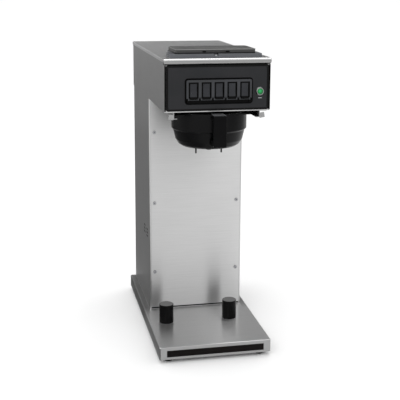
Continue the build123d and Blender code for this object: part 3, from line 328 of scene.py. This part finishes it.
def brushedSteel(name, along, look=stainless, **changes):
    look = {**look, **changes}
    material, tree, shader, coords = startMaterial(
        name, {"Metallic": 1.0, "Anisotropic": look["stretch"]},
    )
    smear = dict(zip("XYZ", look["smear"][along]))
    across = addNode(tree, "ShaderNodeCombineXYZ", values=smear)
    tree.links.new(across.outputs["Vector"], shader.inputs["Tangent"])
    scale = [1000 / look["grainMm"]] * 3
    scale["XYZ".index(along)] = 1000 / look["grainLengthMm"]
    stretched = addNode(
        tree, "ShaderNodeMapping", values={"Scale": scale}, links={"Vector": coords},
    )
    grain = addNode(
        tree, "ShaderNodeTexNoise",
        values={"Scale": 1.0, "Detail": look["grainDetail"], "Roughness": look["grainSoft"]},
        links={"Vector": stretched.outputs["Vector"]},
    )
    clouds = addNode(
        tree, "ShaderNodeTexNoise",
        values={"Scale": 1000 / look["handledMm"], "Detail": look["handledDetail"]},
        links={"Vector": coords},
    )
    start, end = look["contrast"]
    colour = addNode(
        tree, "ShaderNodeValToRGB", links={"Fac": grain.outputs["Fac"]},
        stops=[(start, look["dark"]), (end, look["light"])],
    )
    tree.links.new(colour.outputs["Color"], shader.inputs["Base Color"])
    low, high = look["roughness"]
    dull = addNode(
        tree, "ShaderNodeMapRange",
        values={"From Min": 0.2, "From Max": 0.8, "To Min": low, "To Max": high},
        links={"Value": clouds.outputs["Fac"]},
    )
    tree.links.new(dull.outputs["Result"], shader.inputs["Roughness"])
    return material


rolledEdge = {  # the bullnose is buffed bright, the flat sheet behind it keeps its grain
    # painted light: the cover's sheet is far paler than the other stainless, so that its top,
    # which looks up at the lamps, comes out brighter
    "light": "f4f4f4",
    "dark": "ebebeb",
    "buffed": 0.16,
    "flatFrom": 5 * mm,  # behind the front edge
    "flatTo": 7 * mm,
    "crown": "d8d8d8",
    "below": "909090",  # painted reflection: a dark band below its polished crown
    "belowFrom": 2.4 * mm,
    "belowTo": 4.6 * mm,
}


def rolledCover(name, look):
    material = brushedSteel(name, "Y", light=look["light"], dark=look["dark"])
    tree, shader, coords = reopen(material)
    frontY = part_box("top_cover")[0][1]
    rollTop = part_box("top_cover")[1][2]
    flatFrom, flatTo = frontY + look["flatFrom"], frontY + look["flatTo"]
    flat = fade(tree, coords, "Y", flatFrom, flatTo)
    under = shader.inputs["Roughness"].links[0].from_socket
    buffed = addNode(
        tree, "ShaderNodeMix", {"data_type": "FLOAT"}, {2: look["buffed"]}, {0: flat, 3: under},
    )
    tree.links.new(buffed.outputs[0], shader.inputs["Roughness"])
    roll = fade(tree, coords, "Y", flatTo, flatFrom)
    tint(tree, shader, roll, look["crown"])
    # painted reflection: the roll is darkened below its crown
    lower = fade(tree, coords, "Z", rollTop - look["belowFrom"], rollTop - look["belowTo"])
    tint(tree, shader, joined(tree, "MINIMUM", lower, roll), look["below"])
    return material


# One stainless throughout, toned by how each sheet faces the light: painted light on the panel and
# the base, painted shade on the sides
panelSteel = brushedSteel(  # cross grain that draws the posts into tall soft streaks
    "brushedStainlessPanel", "X",
    light="d0d0d0", dark="c8c8c8", roughness=(0.33, 0.35), stretch=0.95,
)
wrapSteel = brushedSteel(  # upright grain, crisper than the panel, and greyer than it as painted shade on the sides
    "brushedStainlessWrap", "Z",
    light="c0c0c0", dark="b4b4b4", roughness=(0.29, 0.32), stretch=0.5,
)
hoodSteel = brushedSteel(  # grain from front to back that spreads highlights sideways, greyer than the panel as painted shade on the sides
    "brushedStainlessHood", "Y",
    light="c0c0c0", dark="b4b4b4", roughness=(0.29, 0.32),
)
baseSteel = brushedSteel(  # cross grain, so the posts' reflections fade towards the front
    "brushedStainlessBase", "X",
    light="d0d0d0", dark="c6c6c6", roughness=(0.31, 0.33), stretch=0.88,
)
coverSteel = rolledCover("rolledStainlessCover", rolledEdge)
millSteel = brushedSteel(  # as it left the mill: duller and greyer than the brushed sheet
    "millFinishStainless", "Y",
    light="a4a4a4", dark="8e8e8e", roughness=(0.34, 0.46), stretch=0.2,
)
nickelPlate = brushedSteel(  # bright and nearly smooth
    "nickelPlate", "Y",
    light="989c9a", dark="848886", roughness=(0.12, 0.18), stretch=0.0,
)
copperTube = brushedSteel(  # drawn copper: warm, with die lines along the tube
    "drawnCopper", "Z", light="d39a78", dark="a9694a", stretch=0.0,
)

# Zinc plated screws: fine turning marks and a cool tint
zinc = {"dark": "8c8d90", "grainMm": 0.5, "grainLengthMm": 3, "stretch": 0.0}
zincPlate = brushedSteel("zincPlatedSteel", "X", light="c4c5c8", **zinc)
panelScrew = brushedSteel("zincPlatedPanelScrew", "X", light="b4b5b8", **zinc)

paintedShades = {  # painted shades: how far from its face each tone starts and is full, and the tone itself
    "screwRoot": (-1.9 * mm, -1.5 * mm, "1c1c1c"),  # painted shade: a dark line where a head meets the panel
    "panelFoot": (3.0 * mm, 2.4 * mm, "0c0c0c"),  # shadow between the panel and the base
    "baseFront": (0.8 * mm, 0.3 * mm, "a0a0a0"),  # the base's front gets less light
    "stripSide": (0.0, mm, "9a9a9a"),  # painted reflection: the base is darker in the strips beside the trunk, as if mirroring its dark sides
    "stripFront": (-30 * mm, 10 * mm),
}


def shadeSteel(material, axis, face, shadeBand):
    tree, shader, coords = reopen(material)
    start, end, colour = shadeBand
    tint(tree, shader, fade(tree, coords, axis, face + start, face + end), colour)


# Paints the reflection of the trunk's dark sides as a darker tone on the base beside it
def shadeStrips(material, side, front):
    tree, shader, coords = reopen(material)
    low, high = sizeOf("trunk_shell")[:2]
    near, far, colour = side
    beside = joined(
        tree, "MAXIMUM",
        fade(tree, coords, "X", low.x - near, low.x - far),
        fade(tree, coords, "X", high.x + near, high.x + far),
    )
    behind = fade(tree, coords, "Y", low.y + front[0], low.y + front[1])
    tint(tree, shader, joined(tree, "MINIMUM", beside, behind), colour)


panelLow = sizeOf("trunk_front_panel")[0]
shadeSteel(panelScrew, "Y", panelLow.y, paintedShades["screwRoot"])
shadeSteel(panelSteel, "Z", panelLow.z, paintedShades["panelFoot"])
shadeSteel(baseSteel, "Y", sizeOf("base_pan")[0].y, paintedShades["baseFront"])
shadeStrips(baseSteel, paintedShades["stripSide"], paintedShades["stripFront"])

print("plastics")

# Moulded plastic: spark eroded texture that breaks the sheen, faintly uneven in tone
moulded = {
    "dark": "252628",
    "light": "29292b",
    "contrast": (0.35, 0.70),
    "roughness": (0.34, 0.44),
    "textureMm": 0.9,  # the real texture is near 0.1 mm, drawn coarser so that it shows
    "textureDetail": 2.0,
    "flowMm": 45,
    "flowDetail": 3.0,
    "bump": 0.06,
    "bumpDepth": 0.3 * mm,
    "ior": 1.5,
    "sheen": 0.12,
}


def mouldedPlastic(name, look=moulded, **changes):
    look = {**look, **changes}
    material, tree, shader, coords = startMaterial(
        name, {"IOR": look["ior"], "Specular IOR Level": look["sheen"]},
    )
    fine = addNode(
        tree, "ShaderNodeTexNoise",
        values={"Scale": 1000 / look["textureMm"], "Detail": look["textureDetail"]},
        links={"Vector": coords},
    )
    flow = addNode(
        tree, "ShaderNodeTexNoise",
        values={"Scale": 1000 / look["flowMm"], "Detail": look["flowDetail"]},
        links={"Vector": coords},
    )
    start, end = look["contrast"]
    colour = addNode(
        tree, "ShaderNodeValToRGB", links={"Fac": flow.outputs["Fac"]},
        stops=[(start, look["dark"]), (end, look["light"])],
    )
    tree.links.new(colour.outputs["Color"], shader.inputs["Base Color"])
    low, high = look["roughness"]
    dull = addNode(
        tree, "ShaderNodeMapRange",
        values={"From Min": 0.3, "From Max": 0.7, "To Min": low, "To Max": high},
        links={"Value": fine.outputs["Fac"]},
    )
    tree.links.new(dull.outputs["Result"], shader.inputs["Roughness"])
    relief = addNode(
        tree, "ShaderNodeBump",
        values={"Strength": look["bump"], "Distance": look["bumpDepth"]},
        links={"Height": fine.outputs["Fac"]},
    )
    tree.links.new(relief.outputs["Normal"], shader.inputs["Normal"])
    return material, tree, shader, coords


overlay = {  # satin sheet with a glossier black border outside its groove
    "border": "050505",
    "rim": 3.2 * mm,
    "soft": 0.25 * mm,
    "grooveFrom": 0.1 * mm,
    "grooveTo": 0.3 * mm,
}


def panelPlastic(look):
    material, tree, shader, coords = mouldedPlastic("satinPolycarbonateOverlay")
    low, high = sizeOf("control_panel")[:2]
    rim, outside = look["rim"], look["rim"] + look["soft"]
    edges = [
        fade(tree, coords, "X", high.x - outside, high.x - rim),
        fade(tree, coords, "X", low.x + outside, low.x + rim),
        fade(tree, coords, "Z", high.z - outside, high.z - rim),
        fade(tree, coords, "Z", low.z + outside, low.z + rim),
        fade(tree, coords, "Y", low.y + look["grooveFrom"], low.y + look["grooveTo"]),
    ]
    tint(tree, shader, joined(tree, "MAXIMUM", *edges), look["border"])
    return material


bezelFront = sizeOf("switch_bezel")[0].y

bezelLook = {  # ABS, with painted shade: black in the hollows between the guards and round each rocker
    "dark": "3a3b3d",
    "light": "404144",
    "sheen": 0.06,
    "hollowShade": "020202",
    "pitch": 24.9 * mm,
    "hollow": 9.4 * mm,  # this and the next four are measured from a rocker's middle
    "ledge": 10.2 * mm,
    "top": 17.4 * mm,
    "ledgeTop": 13.5 * mm,
    "ledgeFoot": 17.2 * mm,
    "deepFrom": 0.5 * mm,  # behind the bezel's front
    "deepTo": 1.8 * mm,
    "soft": 0.4 * mm,
}


def bezelPlastic(look):
    material, tree, shader, coords = mouldedPlastic(
        "mouldedBlackAbs", dark=look["dark"], light=look["light"], sheen=look["sheen"],
    )
    middle = sizeOf("rocker_3")[2]
    soft = look["soft"]
    split = addNode(tree, "ShaderNodeSeparateXYZ", links={"Vector": coords})
    fromMiddle = addNode(
        tree, "ShaderNodeMath", {"operation": "SUBTRACT"}, {1: middle.x},
        {0: split.outputs["X"]},
    )
    nearest = addNode(
        tree, "ShaderNodeMath", {"operation": "PINGPONG"}, {1: look["pitch"] / 2},
        {0: fromMiddle.outputs[0]},
    )
    hollow, ledge = look["hollow"], look["ledge"]
    closeBy, farOff = [
        addNode(
            tree, "ShaderNodeMapRange", values={"From Min": start, "From Max": end},
            links={"Value": nearest.outputs[0]},
        ).outputs["Result"]
        for start, end in ((hollow + soft, hollow), (ledge, ledge + soft))
    ]
    top = middle.z + look["top"]
    ledgeZ = middle.z - look["ledgeTop"]
    foot = middle.z - look["ledgeFoot"]
    aboveLedge = fade(tree, coords, "Z", ledgeZ, ledgeZ + soft)
    belowFoot = fade(tree, coords, "Z", foot, foot - soft)
    aroundRocker = joined(
        tree, "MINIMUM", closeBy, aboveLedge, fade(tree, coords, "Z", top, top - soft),
    )
    under = joined(
        tree, "MINIMUM", fade(tree, coords, "Z", ledgeZ, ledgeZ - soft),
        joined(tree, "MAXIMUM", farOff, belowFoot),
    )
    behindFront = fade(
        tree, coords, "Y", bezelFront + look["deepFrom"], bezelFront + look["deepTo"],
    )
    deep = joined(
        tree, "MINIMUM", joined(tree, "MAXIMUM", farOff, aboveLedge, belowFoot), behindFront,
    )
    # painted shade in the hollows, round each rocker and under its ledge
    tint(tree, shader, joined(tree, "MAXIMUM", deep, aroundRocker, under), look["hollowShade"])
    return material


rockerLook = {  # nylon with a soft grey face, and painted shade that makes it black behind the face and at its lower end
    "dark": "2c2d30",
    "light": "343538",
    "sheen": 0.08,
    "black": "020202",
    "faceDepth": 2.2 * mm,  # behind the bezel's front
    "faceSoft": 1.0 * mm,
    "foot": 4.2 * mm,  # above the rocker's lower end
    "footSoft": 0.5 * mm,
}


def rockerPlastic(look):
    material, tree, shader, coords = mouldedPlastic(
        "mouldedBlackNylon", dark=look["dark"], light=look["light"], sheen=look["sheen"],
    )
    back = bezelFront + look["faceDepth"]
    foot = sizeOf("rocker_3")[0].z + look["foot"]
    # painted shade behind the face and at the lower end
    black = joined(
        tree, "MAXIMUM",
        fade(tree, coords, "Y", back, back + look["faceSoft"]),
        fade(tree, coords, "Z", foot, foot - look["footSoft"]),
    )
    tint(tree, shader, black, look["black"])
    return material


lidLook = {  # polypropylene: waxy grey, with painted shade that darkens its front and a painted shadow line above the seam
    "dark": "4a4a49",
    "light": "525251",
    "sheen": 0.25,
    "front": (0.9 * mm, 0.4 * mm, "3a3a3a"),
    "shadeBand": (2.4 * mm, 1.9 * mm, "0a0a0a"),
}


def lidPlastic(look):
    material, tree, shader, coords = mouldedPlastic(
        "greyPolypropylene", dark=look["dark"], light=look["light"], sheen=look["sheen"],
    )
    low = sizeOf("lid")[0]
    # painted shade on the front and a painted shadow line above the seam
    for axis, face, level in (("Y", low.y, look["front"]), ("Z", low.z, look["shadeBand"])):
        start, end, colour = level
        tint(tree, shader, fade(tree, coords, axis, face + start, face + end), colour)
    return material


def topLitPlastic(name, node, litTop, **changes):  # painted highlight: its top looks up at the light and is painted greyer
    material, tree, shader, coords = mouldedPlastic(name, **changes)
    top = sizeOf(node)[1].z
    start, end, colour = litTop
    tint(tree, shader, fade(tree, coords, "Z", top - start, top - end), colour)
    return material


panelBlack = panelPlastic(overlay)
bezelBlack = bezelPlastic(bezelLook)
rockerBlack = rockerPlastic(rockerLook)
lidGrey = lidPlastic(lidLook)
funnelBlack = mouldedPlastic(  # deep black with a smooth, slightly waxy gleam
    "blackPolypropylene", dark="070708", light="0c0c0d", roughness=(0.26, 0.34), sheen=0.10,
)[0]
handleBlack = topLitPlastic(  # phenolic: hard, deep black and nearly without gleam
    "blackPhenolicGrip", "funnel_handle", (0.6 * mm, 0.2 * mm, "5a5b5d"),
    dark="060607", light="0a0a0b", sheen=0.06,
)
postBlack = topLitPlastic(  # the same, turned from rod and a little smoother
    "blackPhenolicRod", "airpot_post_left", (0.5 * mm, 0.1 * mm, "626262"),
    dark="060606", light="0b0b0c", roughness=(0.28, 0.36), sheen=0.08,
)
surroundGrey = mouldedPlastic(  # the lid's plastic, a little bluer
    "greyPolypropyleneFrame", dark="54565a", light="5c5e62", sheen=0.3,
)[0]
basinGrey = mouldedPlastic(  # the lid's plastic inside the well, a little lighter
    "greyPolypropyleneBasin", dark="50504f", light="585857", sheen=0.3,
)[0]
lipHighlightGrey = mouldedPlastic(  # painted highlight: much paler than the lid, as where the raised lip catches the light
    "greyPolypropyleneLip", dark="8a8a89", light="929291", sheen=0.3,
)[0]
stripBlack = mouldedPlastic(  # vinyl: black with a trace of brown
    "blackVinylStrip", dark="0a0707", light="120d0c", sheen=0.08,
)[0]
sealAndShadeBlack = mouldedPlastic(  # soft vinyl that shows only as a dark line; the same flat black is painted shade in the vent slots and at the grip's ends
    "blackVinylSealAndShade", dark="020202", light="040404", sheen=0.04,
)[0]
plainBlack = mouldedPlastic(  # nylon: black with a dull gleam
    "blackNylon", dark="0c0c0d", light="131314", sheen=0.15,
)[0]
naturalNylon = mouldedPlastic(  # milky and a little yellow
    "naturalNylon", dark="bdb9a8", light="cfccbe", roughness=(0.36, 0.44), sheen=0.5,
)[0]
neoprene = mouldedPlastic(  # dull rubber that swallows light
    "mouldedNeoprene", dark="080808", light="101010",
    roughness=(0.6, 0.75), textureMm=1.4, bump=0.12, sheen=0.3,
)[0]
siliconeRubber = mouldedPlastic(  # cloudy and soft, without a sharp gleam
    "siliconeRubber", dark="b5afa2", light="c9c4b8", roughness=(0.45, 0.55), sheen=0.4,
)[0]
paleInk = mouldedPlastic(  # a thin flat coat of printing ink
    "palePadPrint", dark="a2a4a6", light="b4b6b8", sheen=0.3,
)[0]

lensLook = {  # clear green dome, brightest a little above and left of its middle
    "core": "2aa862",
    "middle": "0a7a3a",
    "rim": "023616",
    "stops": (0.0, 0.45, 1.0),
    "spot": (-1.2 * mm, 1.4 * mm),
    "reach": 7.5 * mm,
    "ior": 1.58,
    "roughness": 0.12,
    "sheen": 0.25,
    "glow": 0.10,
}


def lensPlastic(name, look):
    material, tree, shader, coords = startMaterial(name, {
        "IOR": look["ior"], "Roughness": look["roughness"],
        "Specular IOR Level": look["sheen"], "Emission Strength": look["glow"],
    })
    low, high, middle = sizeOf("ready_light_lens")
    spot = (middle.x + look["spot"][0], low.y, middle.z + look["spot"][1])
    away = addNode(
        tree, "ShaderNodeVectorMath", {"operation": "DISTANCE"}, {1: spot}, {0: coords},
    )
    ranged = addNode(
        tree, "ShaderNodeMapRange", values={"From Min": 0.0, "From Max": look["reach"]},
        links={"Value": away.outputs["Value"]},
    )
    colours = (look["core"], look["middle"], look["rim"])
    ramp = addNode(
        tree, "ShaderNodeValToRGB", links={"Fac": ranged.outputs["Result"]},
        stops=list(zip(look["stops"], colours)),
    )
    tree.links.new(ramp.outputs["Color"], shader.inputs["Base Color"])
    tree.links.new(ramp.outputs["Color"], shader.inputs["Emission Color"])
    return material


greenLens = lensPlastic("greenPolycarbonate", lensLook)

finishes = {  # the rockers, and the screws, bolts and pins not named here, are set below
    "base_pan": baseSteel, "base_bottom_plate": millSteel, "base_front_insert": stripBlack,
    "rubber_feet": neoprene, "airpot_post_left": postBlack, "airpot_post_right": postBlack,
    "trunk_shell": wrapSteel, "trunk_front_panel": panelSteel, "hood_shell": hoodSteel,
    "head_floor": millSteel, "top_cover": coverSteel, "control_panel": panelBlack,
    "switch_bezel": bezelBlack, "switch_bodies": plainBlack, "ready_light_ring": nickelPlate,
    "ready_light_lens": greenLens, "ready_light_nut": nickelPlate,
    "funnel_rail_left": millSteel, "funnel_rail_right": millSteel,
    "funnel_bowl": funnelBlack, "funnel_handle": handleBlack,
    "sprayhead": naturalNylon, "spray_nut": naturalNylon, "spray_tube": copperTube,
    "fill_basin": basinGrey, "basin_screen": millSteel, "fill_surround": surroundGrey,
    "lid": lidGrey, "tank_shelf": millSteel, "tank": wrapSteel,
    "tank_gasket": siliconeRubber, "tank_lid": millSteel, "fill_hose": siliconeRubber,
    "heating_element": nickelPlate, "thermostat": plainBlack, "thermostat_bulb": copperTube,
    "limit_thermostat": plainBlack, "terminal_block": naturalNylon,
    "cord_gland": neoprene, "gland_nut": plainBlack, "front_panel_screws": panelScrew,
}
for name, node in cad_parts.items():
    finish = finishes.get(name, rockerBlack if name.startswith("rocker") else zincPlate)
    node.data.materials.clear()
    node.data.materials.append(finish)

print("seals")

panelFace = sizeOf("control_panel")[0].y
hoodFace = sizeOf("hood_shell")[0].y

bezelGasket = {  # a soft bead that shows as a dark line round the bezel
    "gap": 0.1 * mm,
    "reach": 2.6 * mm,
    "thick": 0.7 * mm,
    "corner": 3.5 * mm,
    "profile": ((0, 0), (0, 0.7), (0.3, 1.0), (1, 0.5), (1, 0)),  # shares of reach and thick
}


def bezelSeal(look):
    low, high, middle = sizeOf("switch_bezel")
    width, height = high.x - low.x, high.z - low.z
    rings = []
    for spread, rise in look["profile"]:
        out = look["gap"] + spread * look["reach"]
        loop = roundedLoop(width + 2 * out, height + 2 * out, look["corner"] + out)
        rings.append(onFront(loop, middle.x, panelFace - rise * look["thick"], middle.z))
    newPiece(skin("bezel_seal", rings, closed=True), "root", sealAndShadeBlack)


bezelSeal(bezelGasket)

panelGasket = {  # a strip down each side of the control panel
    "gap": 0.3 * mm,
    "reach": 2.7 * mm,
    "thick": 1.7 * mm,
    "soft": 0.3 * mm,
    "steps": 3,
}


def panelSeals(look):
    low, high, middle = sizeOf("control_panel")
    reach, thick, soft, steps = look["reach"], look["thick"], look["soft"], look["steps"]
    height = high.z - low.z
    shift = (high.x - low.x) / 2 + look["gap"] + reach / 2
    full = roundedLoop(reach, height, 2 * soft, steps)
    worn = roundedLoop(reach - 2 * soft, height - 2 * soft, soft, steps)
    for name, x in (("panel_seal_left", middle.x - shift), ("panel_seal_right", middle.x + shift)):
        rings = [
            onFront(full, x, hoodFace, middle.z),
            onFront(full, x, hoodFace - thick + soft, middle.z),
            onFront(worn, x, hoodFace - thick, middle.z),
        ]
        newPiece(skin(name, rings), "root", sealAndShadeBlack)


panelSeals(panelGasket)

print("ready dash")

readyMark = {  # a plain pale dash
    "width": 7 * mm,
    "height": 1.2 * mm,
    "corner": 0.5 * mm,
    "steps": 3,
    "drop": 12.5 * mm,  # below the middle of the light
    "ink": 0.12 * mm,
}


def readyDash(look):
    middle = sizeOf("ready_light_ring")[2]
    loop = roundedLoop(look["width"], look["height"], look["corner"], look["steps"])
    z = middle.z - look["drop"]
    rings = [onFront(loop, middle.x, y, z) for y in (panelFace, panelFace - look["ink"])]
    newPiece(skin("ready_dash", rings), "root", paleInk)


readyDash(readyMark)

print("vents")

vents = {  # short slots low on the trunk's left side, each with a pressed rim and a flat black sheet in it as painted shade
    "fromFront": (34 * mm, 70 * mm),
    "heights": (193 * mm, 200.5 * mm, 208 * mm),
    "length": 16 * mm,
    "height": 3.6 * mm,
    "rim": 0.6 * mm,
    "proud": 0.15 * mm,
    "darkProud": 0.12 * mm,
    "roundness": 0.49,  # corner radius as a share of the height
    "steps": 6,
}


def trunkVents(look):
    low = sizeOf("trunk_shell")[0]
    tall, rim, proud = look["height"], look["rim"], look["proud"]
    loops = [
        roundedLoop(look["length"] + q, tall + q, look["roundness"] * (tall + q), look["steps"])
        for q in (0, 0, rim, 2 * rim)
    ]
    depths = (low.x, low.x - proud / 2, low.x - proud, low.x)
    for row, z in enumerate(look["heights"]):
        for column, back in enumerate(look["fromFront"]):
            y = low.y + back
            label = f"{row + 1}_{column + 1}"
            rings = [onSide(loop, x, y, z) for loop, x in zip(loops, depths)]
            rimMesh = skin(f"vent_rim_{label}", rings, closed=True)
            newPiece(rimMesh, "root", wrapSteel)
            # painted shade: a flat black sheet where the slot's inside is in shade
            hole = [onSide(loops[0], x, y, z) for x in (low.x, low.x - look["darkProud"])]
            newPiece(skin(f"vent_hole_shade_{label}", hole), "root", sealAndShadeBlack)


trunkVents(vents)

print("lid trim")

lidTrim = {  # thin raised lip on the front and sides, and painted shade at the two ends of the finger grip
    "lip": 1.0 * mm,
    "lipProud": 0.5 * mm,
    "lipEnd": 12 * mm,  # it dies into the lid this far before the hinge
    "profile": ((-0.3, 0.9), (1, 0.9), (1, 0.2), (0.4, 0.04), (-0.3, 0.04)),  # reach, drop
    "corner": 4 * mm,
    "gripHalf": 23 * mm,
    "gripDrop": 4.6 * mm,
    "gripWidth": 7 * mm,
    "gripHeight": 2.6 * mm,
    "gripCorner": 0.8 * mm,
    "gripSteps": 3,
    "gripSunk": 0.1 * mm,
    "gripProud": 0.15 * mm,
}


def lidPieces(look):
    low, high, middle = sizeOf("lid")
    width, depth = high.x - low.x, high.y - low.y - look["lipEnd"]
    rings = []
    for out, drop in look["profile"]:
        spread = 2 * out * look["lipProud"]
        z = high.z - drop * look["lip"]
        loop = roundedLoop(width + spread, depth + spread, look["corner"])
        rings.append([(middle.x + u, low.y + depth / 2 + v, z) for u, v in loop])
    newPiece(skin("lid_lip", rings, closed=True), "lid", lipHighlightGrey)
    # painted shade: a flat black patch at each end of the finger grip, where its recess is in
    # shade
    mark = roundedLoop(
        look["gripWidth"], look["gripHeight"], look["gripCorner"], look["gripSteps"],
    )
    levels = (low.y + look["gripSunk"], low.y - look["gripProud"])
    z = high.z - look["gripDrop"]
    for name, side in (("lid_grip_shade_left", -1), ("lid_grip_shade_right", 1)):
        x = middle.x + side * look["gripHalf"]
        rings = [onFront(mark, x, y, z) for y in levels]
        newPiece(skin(name, rings), "lid", sealAndShadeBlack)


lidPieces(lidTrim)
